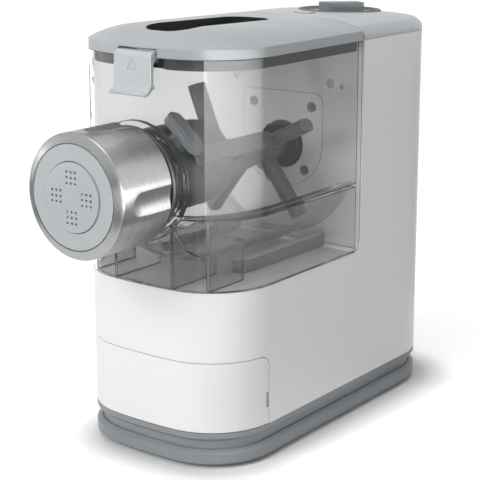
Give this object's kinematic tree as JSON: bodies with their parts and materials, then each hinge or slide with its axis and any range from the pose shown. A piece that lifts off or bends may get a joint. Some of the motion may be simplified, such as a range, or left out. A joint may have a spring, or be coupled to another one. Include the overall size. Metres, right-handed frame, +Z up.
{
  "type": "electric pasta maker",
  "caption": "Upright electric pasta maker with a clear kneading chamber, extrusion head, screw paddle, storage drawer, dial and hinged lid latch.",
  "frame": {"origin": "on the floor under the centre of the whole machine's box", "axes": "+Z up, -Y towards the extrusion head at the front, +X to the right seen from the front"},
  "size_m": [0.135, 0.331, 0.28],
  "materials": {
    "base_gray": "fine moulded grain",
    "foot_rubber": "soft",
    "zinc": "zinc plated",
    "body_white": "gloss warm white",
    "cover_gray": "satin",
    "ring_gray": "satin",
    "knob_gray": "satin",
    "board_green": "solder mask",
    "switch_black": "moulded",
    "seal_black": "soft",
    "tube_gray": "fine moulded grain",
    "steel": "ground",
    "gear_plastic": "natural acetal",
    "gear_brass": "cut",
    "frame_alloy": "cast",
    "tray_gray": "satin",
    "disc_white": "satin",
    "clear_plastic": "clear polished",
    "cap_gray": "satin",
    "cap_steel": "brushed",
    "disc_gray": "satin",
    "screw_steel": "polished",
    "lid_gray": "satin",
    "collar_dark": "satin",
    "latch_gray": "satin"
  },
  "bodies": {
    "housing": {"base_tray": "base_gray", "rubber_feet": "foot_rubber", "tray_screws": "zinc", "main_housing": "body_white", "deck_plate": "body_white", "column_shell": "body_white", "rear_panel": "body_white", "column_cover": "cover_gray", "dial_ring": "ring_gray", "control_board": "board_green", "selector_switch": "switch_black", "start_switch": "switch_black", "shield_plate": "body_white", "plate_screws": "zinc", "shaft_seal": "seal_black", "output_bearing": "steel", "motor_can": "steel", "gear_frame": "frame_alloy", "cord_gland": "switch_black"},
    "drive": {"drive_coupling": "tube_gray", "output_shaft": "steel", "output_gear": "gear_plastic"},
    "layshaft": {"intermediate_shaft": "steel", "intermediate_gear": "gear_plastic"},
    "rotor": {"motor_shaft": "steel", "motor_pinion": "gear_brass", "cooling_fan": "gear_plastic"},
    "knob": {"control_knob": "knob_gray"},
    "button": {"start_button": "knob_gray"},
    "drawer": {"drawer_front": "body_white", "storage_tray": "tray_gray", "spare_discs": "disc_white"},
    "chamber": {"mixing_chamber": "clear_plastic", "chamber_seal": "seal_black", "extrusion_tube": "tube_gray", "tube_key": "tube_gray", "shaping_disc": "disc_gray", "disc_insert": "disc_gray"},
    "cap": {"cap_core": "cap_gray", "locking_cap": "cap_steel"},
    "paddle": {"extruder_screw": "screw_steel", "kneading_paddle": "tube_gray"},
    "lid": {"lid_shell": "lid_gray", "lid_collar": "collar_dark", "pour_grille": "collar_dark", "latch_pin": "steel"},
    "latch": {"lid_latch": "latch_gray"}
  },
  "joints": [
    {"name": "drive_spin", "type": "hinge", "parent": "housing", "child": "drive", "pos_m": [0, 0.06, 0.1848], "axis": [0, 1, 0], "continuous": true},
    {"name": "layshaft_spin", "type": "hinge", "parent": "housing", "child": "layshaft", "pos_m": [0, 0.08, 0.1352], "axis": [0, 1, 0], "continuous": true},
    {"name": "rotor_spin", "type": "hinge", "parent": "housing", "child": "rotor", "pos_m": [0, 0.12, 0.0902], "axis": [0, 1, 0], "continuous": true},
    {"name": "knob_turn", "type": "hinge", "parent": "housing", "child": "knob", "pos_m": [0, 0.1215, 0.2728], "axis": [0, 0.0262, 0.9997], "range_deg": [-135, 135]},
    {"name": "button_press", "type": "slide", "parent": "housing", "child": "button", "axis": [0, -0.0262, -0.9997], "range_m": [0, 0.0012], "stiffness_N_per_m": 1200},
    {"name": "drawer_slide", "type": "slide", "parent": "housing", "child": "drawer", "axis": [0, -1, 0], "range_m": [0, 0.1]},
    {"name": "chamber_slide", "type": "slide", "parent": "housing", "child": "chamber", "axis": [0, -1, 0], "range_m": [0, 0.12]},
    {"name": "cap_turn", "type": "hinge", "parent": "chamber", "child": "cap", "pos_m": [0, -0.1445, 0.1848], "axis": [0, 1, 0], "range_deg": [0, 60]},
    {"name": "paddle_spin", "type": "hinge", "parent": "chamber", "child": "paddle", "pos_m": [0, 0, 0.1848], "axis": [0, 1, 0], "continuous": true},
    {"name": "lid_lift", "type": "slide", "parent": "chamber", "child": "lid", "axis": [0, 0, 1], "range_m": [0, 0.08]},
    {"name": "latch_open", "type": "hinge", "parent": "lid", "child": "latch", "pos_m": [0, -0.1025, 0.2643], "axis": [-1, 0, 0], "range_deg": [0, 25]}
  ],
  "couplings": [
    {"joint": "layshaft_spin", "follows": "drive_spin", "ratio": -4.1667},
    {"joint": "rotor_spin", "follows": "drive_spin", "ratio": 20.833},
    {"joint": "paddle_spin", "follows": "drive_spin", "ratio": 1}
  ]
}
